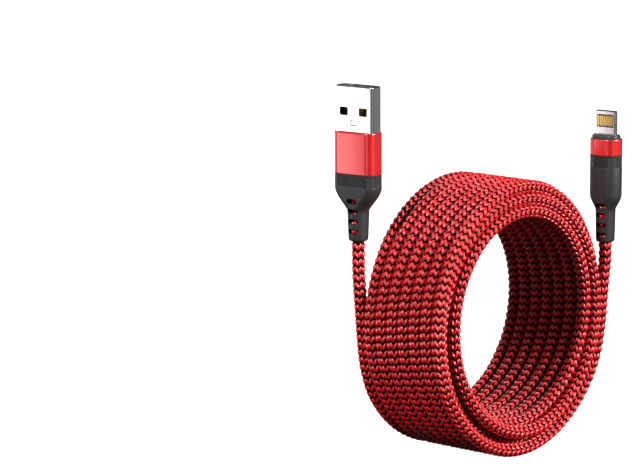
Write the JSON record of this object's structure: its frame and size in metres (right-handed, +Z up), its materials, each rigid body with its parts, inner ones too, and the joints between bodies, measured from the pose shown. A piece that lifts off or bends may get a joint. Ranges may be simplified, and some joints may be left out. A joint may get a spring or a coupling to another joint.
{
  "type": "charging cable",
  "caption": "Braided charging cable wound into a round coil that stands on its rim, with a flat rectangular plug and a thin tongue plug on stiff upright ends.",
  "frame": {"origin": "bottom centre of the whole cable's box, on the surface that the coil's rim stands on", "axes": "+Z up along both plugs, +X along the coil's axis, the flat rectangular plug on the -Y side and its front face towards -Y"},
  "size_m": [0.0386, 0.0802, 0.1029],
  "materials": {
    "braid": "woven red and black yarn",
    "boot": "satin moulded grip with a fine knurl",
    "red_metal": "red anodised satin",
    "shell_steel": "bright nickel plate",
    "dark_plastic": "moulded",
    "white_plastic": "low pressure moulding",
    "board": "solder resist",
    "capacitor": "fired",
    "solder": "bright",
    "jacket": "extruded",
    "gold": "gold plated",
    "wire_red": "extruded",
    "wire_white": "extruded",
    "wire_green": "extruded",
    "wire_black": "extruded"
  },
  "bodies": {
    "root": {"cord_coil": "braid", "phone_blade_frame": "shell_steel", "phone_blade_insulator": "dark_plastic", "phone_boot": "boot", "phone_capacitors": "capacitor", "phone_chip": "dark_plastic", "phone_circuit_board": "board", "phone_contacts_back": "gold", "phone_contacts_front": "gold", "phone_end_cord": "braid", "phone_front_bezel": "dark_plastic", "phone_inner_mould": "white_plastic", "phone_ring": "red_metal", "phone_shield_can": "shell_steel", "phone_solder_joints": "solder", "phone_stripped_jacket": "jacket", "phone_wire_black": "wire_black", "phone_wire_green": "wire_green", "phone_wire_red": "wire_red", "phone_wire_white": "wire_white", "usb_boot": "boot", "usb_contact_carrier": "dark_plastic", "usb_contact_data_minus": "gold", "usb_contact_data_plus": "gold", "usb_contact_ground": "gold", "usb_contact_power": "gold", "usb_crimp_collar": "shell_steel", "usb_end_cord": "braid", "usb_inner_mould": "white_plastic", "usb_shell": "shell_steel", "usb_sleeve": "red_metal", "usb_solder_joints": "solder", "usb_stripped_jacket": "jacket", "usb_wire_black": "wire_black", "usb_wire_green": "wire_green", "usb_wire_red": "wire_red", "usb_wire_white": "wire_white"}
  },
  "joints": []
}
